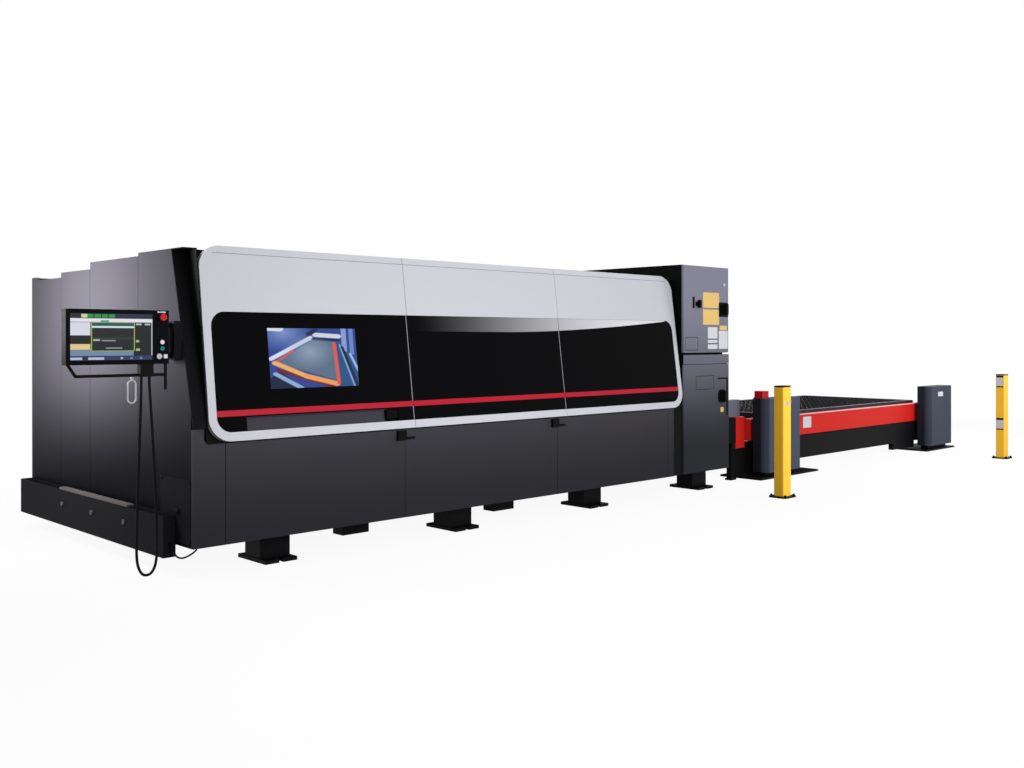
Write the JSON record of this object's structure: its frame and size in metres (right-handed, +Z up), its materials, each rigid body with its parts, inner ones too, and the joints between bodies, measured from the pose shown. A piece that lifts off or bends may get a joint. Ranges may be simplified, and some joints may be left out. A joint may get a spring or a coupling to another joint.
{
  "type": "fiber laser cutting machine",
  "caption": "Laser cutting machine: closed cabin with a leaned silver cover and lift-up door, gantry and cutting head, swivel operator panel, cabinet and shuttle table with a slatted pallet.",
  "frame": {"origin": "middle of the footprint on the floor", "axes": "+X along the front from the operator panel to the shuttle table, +Y from the front to the rear, +Z up"},
  "size_m": [11.695, 3.615, 2.137],
  "materials": {
    "charcoal_paint": "satin",
    "black_paint": "satin",
    "silver_paint": "satin",
    "window_black": "gloss",
    "red_paint": "satin",
    "red_lens": "gloss",
    "slate_paint": "satin",
    "steel": "brushed",
    "yellow_paint": "satin",
    "black_plastic": "satin",
    "screen": "gloss",
    "white_plastic": "gloss",
    "teal_plastic": "gloss",
    "cable_black": "matte"
  },
  "bodies": {
    "machine": {"bed_frame": "charcoal_paint", "left_frame": "charcoal_paint", "right_frame": "charcoal_paint", "rear_frame": "charcoal_paint", "left_panels": "charcoal_paint", "access_cover": "charcoal_paint", "right_panels": "charcoal_paint", "rear_panels": "charcoal_paint", "roof_panels": "charcoal_paint", "lower_panels": "charcoal_paint", "machine_feet": "black_paint", "front_frame": "black_paint", "cover_catches": "black_paint", "left_return": "black_paint", "right_return": "black_paint", "side_trough": "black_paint", "table_base": "black_paint", "floor_plates": "black_paint", "post_ends": "black_paint", "hmi_bracket": "black_paint", "fixed_covers": "silver_paint", "sweep_trim": "silver_paint", "fixed_windows": "window_black", "fixed_stripes": "red_paint", "bridge_beams": "red_paint", "signal_lamp": "red_lens", "cabinet_lower": "slate_paint", "cabinet_upper": "slate_paint", "portal_hood": "slate_paint", "pallet_rails": "slate_paint", "pillar_covers": "slate_paint", "trough_strip": "steel", "x_rails": "steel", "safety_posts": "yellow_paint", "link_cable": "cable_black"},
    "door": {"door_cover": "silver_paint", "door_window": "window_black", "door_screen": "screen", "door_stripe": "red_paint", "door_grip": "window_black"},
    "gantry": {"gantry_beam": "steel"},
    "carriage": {"head_carriage": "charcoal_paint"},
    "head": {"cutting_head": "slate_paint"},
    "lift": {"lift_frame": "red_paint"},
    "pallet": {"pallet_frame": "slate_paint", "pallet_slats": "steel"},
    "upper_door": {"upper_door": "slate_paint"},
    "upper_handle": {"upper_handle": "black_paint"},
    "main_switch": {"main_switch": "black_paint"},
    "lower_door": {"lower_door": "slate_paint"},
    "lower_handle": {"lower_handle": "black_paint"},
    "panel": {"hmi_housing": "black_plastic", "hmi_screen": "screen", "hmi_handle": "black_paint", "hook_ring": "steel", "hmi_cable": "cable_black"},
    "emergency_stop": {"emergency_stop": "red_lens"},
    "white_button": {"white_button": "white_plastic"},
    "teal_button": {"teal_button": "teal_plastic"},
    "key_switch": {"key_switch": "steel"}
  },
  "joints": [
    {"name": "door_hinge", "type": "hinge", "parent": "machine", "child": "door", "pos_m": [-4.2565, -0.63181, 1.99045], "axis": [-1, 0, 0], "range_deg": [0, 75]},
    {"name": "gantry_slide", "type": "slide", "parent": "machine", "child": "gantry", "axis": [1, 0, 0], "range_m": [-3.4, 0]},
    {"name": "head_slide", "type": "slide", "parent": "gantry", "child": "carriage", "axis": [0, 1, 0], "range_m": [-0.68, 0.68]},
    {"name": "z_slide", "type": "slide", "parent": "carriage", "child": "head", "axis": [0, 0, 1], "range_m": [-0.14, 0]},
    {"name": "lift_slide", "type": "slide", "parent": "machine", "child": "lift", "axis": [0, 0, 1], "range_m": [0, 0.275]},
    {"name": "pallet_slide", "type": "slide", "parent": "lift", "child": "pallet", "axis": [1, 0, 0], "range_m": [-6.25, 0]},
    {"name": "upper_door_hinge", "type": "hinge", "parent": "machine", "child": "upper_door", "pos_m": [0.4545, -0.8015, 1.727], "axis": [0, 0, 1], "range_deg": [0, 100]},
    {"name": "lower_door_hinge", "type": "hinge", "parent": "machine", "child": "lower_door", "pos_m": [-0.2575, -0.8015, 0.7], "axis": [0, 0, -1], "range_deg": [0, 95]},
    {"name": "latch_turn", "type": "hinge", "parent": "upper_door", "child": "upper_handle", "pos_m": [-0.0415, -0.8125, 1.776], "axis": [0, 1, 0], "range_deg": [0, 90]},
    {"name": "switch_turn", "type": "hinge", "parent": "upper_door", "child": "main_switch", "pos_m": [0.3785, -0.8125, 1.733], "axis": [0, 1, 0], "range_deg": [0, 90]},
    {"name": "low_handle_turn", "type": "hinge", "parent": "lower_door", "child": "lower_handle", "pos_m": [0.3615, -0.8125, 0.895], "axis": [0, 1, 0], "range_deg": [0, 90]},
    {"name": "panel_swivel", "type": "hinge", "parent": "machine", "child": "panel", "pos_m": [-5.2255, -0.6095, 1.437], "axis": [0, 0, 1], "range_deg": [-85, 0]},
    {"name": "stop_press", "type": "slide", "parent": "panel", "child": "emergency_stop", "axis": [0, 1, 0], "range_m": [0, 0.006], "stiffness_N_per_m": 500},
    {"name": "white_press", "type": "slide", "parent": "panel", "child": "white_button", "axis": [0, 1, 0], "range_m": [0, 0.004], "stiffness_N_per_m": 300},
    {"name": "teal_press", "type": "slide", "parent": "panel", "child": "teal_button", "axis": [0, 1, 0], "range_m": [0, 0.004], "stiffness_N_per_m": 300},
    {"name": "key_turn", "type": "hinge", "parent": "panel", "child": "key_switch", "pos_m": [-5.3055, -0.7075, 1.343], "axis": [0, 1, 0], "range_deg": [0, 90]}
  ]
}
